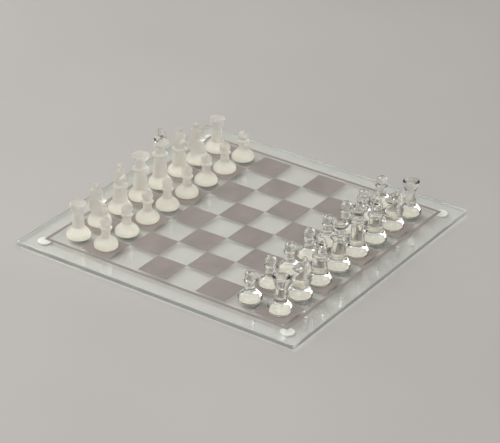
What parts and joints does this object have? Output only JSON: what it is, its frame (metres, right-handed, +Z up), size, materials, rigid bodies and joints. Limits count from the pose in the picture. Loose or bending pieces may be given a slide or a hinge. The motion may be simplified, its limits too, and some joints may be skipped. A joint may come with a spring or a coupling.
{
  "type": "chess set with board",
  "caption": "Clear and frosted glass chessmen on a square glass board with etched squares and round feet; every man lifts off.",
  "frame": {"origin": "on the table under the middle of the board, at the underside of the feet", "axes": "+Z up, +X from file a to file h, +Y from rank 1 to rank 8; the clear side sits at -Y and the frosted side at +Y"},
  "size_m": [0.35, 0.35, 0.0772],
  "materials": {
    "board_glass": "polished clear plate, with 32 squares and a border line etched to a grey satin",
    "clear_glass": "fire-polished pressed glass",
    "frosted_glass": "acid-frosted satin pressed glass; the king's cross is left polished",
    "felt_pad": "cream felt",
    "foot_pad": "matte white bumper"
  },
  "bodies": {
    "board": {"glass_board": "board_glass", "board_foot_back_left": "foot_pad", "board_foot_back_right": "foot_pad", "board_foot_front_left": "foot_pad", "board_foot_front_right": "foot_pad"},
    "clear_bishop_c1": {"clear_bishop_c1": "clear_glass", "pad_clear_bishop_c1": "felt_pad"},
    "clear_bishop_f1": {"clear_bishop_f1": "clear_glass", "pad_clear_bishop_f1": "felt_pad"},
    "clear_king_e1": {"clear_king_e1": "clear_glass", "pad_clear_king_e1": "felt_pad"},
    "clear_knight_b1": {"clear_knight_b1": "clear_glass", "pad_clear_knight_b1": "felt_pad"},
    "clear_knight_g1": {"clear_knight_g1": "clear_glass", "pad_clear_knight_g1": "felt_pad"},
    "clear_pawn_a2": {"clear_pawn_a2": "clear_glass"},
    "clear_pawn_b2": {"clear_pawn_b2": "clear_glass"},
    "clear_pawn_c2": {"clear_pawn_c2": "clear_glass"},
    "clear_pawn_d2": {"clear_pawn_d2": "clear_glass"},
    "clear_pawn_e2": {"clear_pawn_e2": "clear_glass"},
    "clear_pawn_f2": {"clear_pawn_f2": "clear_glass"},
    "clear_pawn_g2": {"clear_pawn_g2": "clear_glass"},
    "clear_pawn_h2": {"clear_pawn_h2": "clear_glass"},
    "clear_queen_d1": {"clear_queen_d1": "clear_glass", "pad_clear_queen_d1": "felt_pad"},
    "clear_rook_a1": {"clear_rook_a1": "clear_glass", "pad_clear_rook_a1": "felt_pad"},
    "clear_rook_h1": {"clear_rook_h1": "clear_glass", "pad_clear_rook_h1": "felt_pad"},
    "frosted_bishop_c8": {"frosted_bishop_c8": "frosted_glass", "pad_frosted_bishop_c8": "felt_pad"},
    "frosted_bishop_f8": {"frosted_bishop_f8": "frosted_glass", "pad_frosted_bishop_f8": "felt_pad"},
    "frosted_king_e8": {"frosted_king_e8": "frosted_glass", "pad_frosted_king_e8": "felt_pad"},
    "frosted_knight_b8": {"frosted_knight_b8": "frosted_glass", "pad_frosted_knight_b8": "felt_pad"},
    "frosted_knight_g8": {"frosted_knight_g8": "frosted_glass", "pad_frosted_knight_g8": "felt_pad"},
    "frosted_pawn_a7": {"frosted_pawn_a7": "frosted_glass"},
    "frosted_pawn_b7": {"frosted_pawn_b7": "frosted_glass"},
    "frosted_pawn_c7": {"frosted_pawn_c7": "frosted_glass"},
    "frosted_pawn_d7": {"frosted_pawn_d7": "frosted_glass"},
    "frosted_pawn_e7": {"frosted_pawn_e7": "frosted_glass"},
    "frosted_pawn_f7": {"frosted_pawn_f7": "frosted_glass"},
    "frosted_pawn_g7": {"frosted_pawn_g7": "frosted_glass"},
    "frosted_pawn_h7": {"frosted_pawn_h7": "frosted_glass"},
    "frosted_queen_d8": {"frosted_queen_d8": "frosted_glass", "pad_frosted_queen_d8": "felt_pad"},
    "frosted_rook_a8": {"frosted_rook_a8": "frosted_glass", "pad_frosted_rook_a8": "felt_pad"},
    "frosted_rook_h8": {"frosted_rook_h8": "frosted_glass", "pad_frosted_rook_h8": "felt_pad"}
  },
  "joints": [
    {"name": "lift_clear_bishop_c1", "type": "slide", "parent": "board", "child": "clear_bishop_c1", "axis": [0, 0, 1], "range_m": [0, 0.11]},
    {"name": "lift_clear_bishop_f1", "type": "slide", "parent": "board", "child": "clear_bishop_f1", "axis": [0, 0, 1], "range_m": [0, 0.11]},
    {"name": "lift_clear_king_e1", "type": "slide", "parent": "board", "child": "clear_king_e1", "axis": [0, 0, 1], "range_m": [0, 0.11]},
    {"name": "lift_clear_knight_b1", "type": "slide", "parent": "board", "child": "clear_knight_b1", "axis": [0, 0, 1], "range_m": [0, 0.11]},
    {"name": "lift_clear_knight_g1", "type": "slide", "parent": "board", "child": "clear_knight_g1", "axis": [0, 0, 1], "range_m": [0, 0.11]},
    {"name": "lift_clear_pawn_a2", "type": "slide", "parent": "board", "child": "clear_pawn_a2", "axis": [0, 0, 1], "range_m": [0, 0.11]},
    {"name": "lift_clear_pawn_b2", "type": "slide", "parent": "board", "child": "clear_pawn_b2", "axis": [0, 0, 1], "range_m": [0, 0.11]},
    {"name": "lift_clear_pawn_c2", "type": "slide", "parent": "board", "child": "clear_pawn_c2", "axis": [0, 0, 1], "range_m": [0, 0.11]},
    {"name": "lift_clear_pawn_d2", "type": "slide", "parent": "board", "child": "clear_pawn_d2", "axis": [0, 0, 1], "range_m": [0, 0.11]},
    {"name": "lift_clear_pawn_e2", "type": "slide", "parent": "board", "child": "clear_pawn_e2", "axis": [0, 0, 1], "range_m": [0, 0.11]},
    {"name": "lift_clear_pawn_f2", "type": "slide", "parent": "board", "child": "clear_pawn_f2", "axis": [0, 0, 1], "range_m": [0, 0.11]},
    {"name": "lift_clear_pawn_g2", "type": "slide", "parent": "board", "child": "clear_pawn_g2", "axis": [0, 0, 1], "range_m": [0, 0.11]},
    {"name": "lift_clear_pawn_h2", "type": "slide", "parent": "board", "child": "clear_pawn_h2", "axis": [0, 0, 1], "range_m": [0, 0.11]},
    {"name": "lift_clear_queen_d1", "type": "slide", "parent": "board", "child": "clear_queen_d1", "axis": [0, 0, 1], "range_m": [0, 0.11]},
    {"name": "lift_clear_rook_a1", "type": "slide", "parent": "board", "child": "clear_rook_a1", "axis": [0, 0, 1], "range_m": [0, 0.11]},
    {"name": "lift_clear_rook_h1", "type": "slide", "parent": "board", "child": "clear_rook_h1", "axis": [0, 0, 1], "range_m": [0, 0.11]},
    {"name": "lift_frosted_bishop_c8", "type": "slide", "parent": "board", "child": "frosted_bishop_c8", "axis": [0, 0, 1], "range_m": [0, 0.11]},
    {"name": "lift_frosted_bishop_f8", "type": "slide", "parent": "board", "child": "frosted_bishop_f8", "axis": [0, 0, 1], "range_m": [0, 0.11]},
    {"name": "lift_frosted_king_e8", "type": "slide", "parent": "board", "child": "frosted_king_e8", "axis": [0, 0, 1], "range_m": [0, 0.11]},
    {"name": "lift_frosted_knight_b8", "type": "slide", "parent": "board", "child": "frosted_knight_b8", "axis": [0, 0, 1], "range_m": [0, 0.11]},
    {"name": "lift_frosted_knight_g8", "type": "slide", "parent": "board", "child": "frosted_knight_g8", "axis": [0, 0, 1], "range_m": [0, 0.11]},
    {"name": "lift_frosted_pawn_a7", "type": "slide", "parent": "board", "child": "frosted_pawn_a7", "axis": [0, 0, 1], "range_m": [0, 0.11]},
    {"name": "lift_frosted_pawn_b7", "type": "slide", "parent": "board", "child": "frosted_pawn_b7", "axis": [0, 0, 1], "range_m": [0, 0.11]},
    {"name": "lift_frosted_pawn_c7", "type": "slide", "parent": "board", "child": "frosted_pawn_c7", "axis": [0, 0, 1], "range_m": [0, 0.11]},
    {"name": "lift_frosted_pawn_d7", "type": "slide", "parent": "board", "child": "frosted_pawn_d7", "axis": [0, 0, 1], "range_m": [0, 0.11]},
    {"name": "lift_frosted_pawn_e7", "type": "slide", "parent": "board", "child": "frosted_pawn_e7", "axis": [0, 0, 1], "range_m": [0, 0.11]},
    {"name": "lift_frosted_pawn_f7", "type": "slide", "parent": "board", "child": "frosted_pawn_f7", "axis": [0, 0, 1], "range_m": [0, 0.11]},
    {"name": "lift_frosted_pawn_g7", "type": "slide", "parent": "board", "child": "frosted_pawn_g7", "axis": [0, 0, 1], "range_m": [0, 0.11]},
    {"name": "lift_frosted_pawn_h7", "type": "slide", "parent": "board", "child": "frosted_pawn_h7", "axis": [0, 0, 1], "range_m": [0, 0.11]},
    {"name": "lift_frosted_queen_d8", "type": "slide", "parent": "board", "child": "frosted_queen_d8", "axis": [0, 0, 1], "range_m": [0, 0.11]},
    {"name": "lift_frosted_rook_a8", "type": "slide", "parent": "board", "child": "frosted_rook_a8", "axis": [0, 0, 1], "range_m": [0, 0.11]},
    {"name": "lift_frosted_rook_h8", "type": "slide", "parent": "board", "child": "frosted_rook_h8", "axis": [0, 0, 1], "range_m": [0, 0.11]}
  ]
}
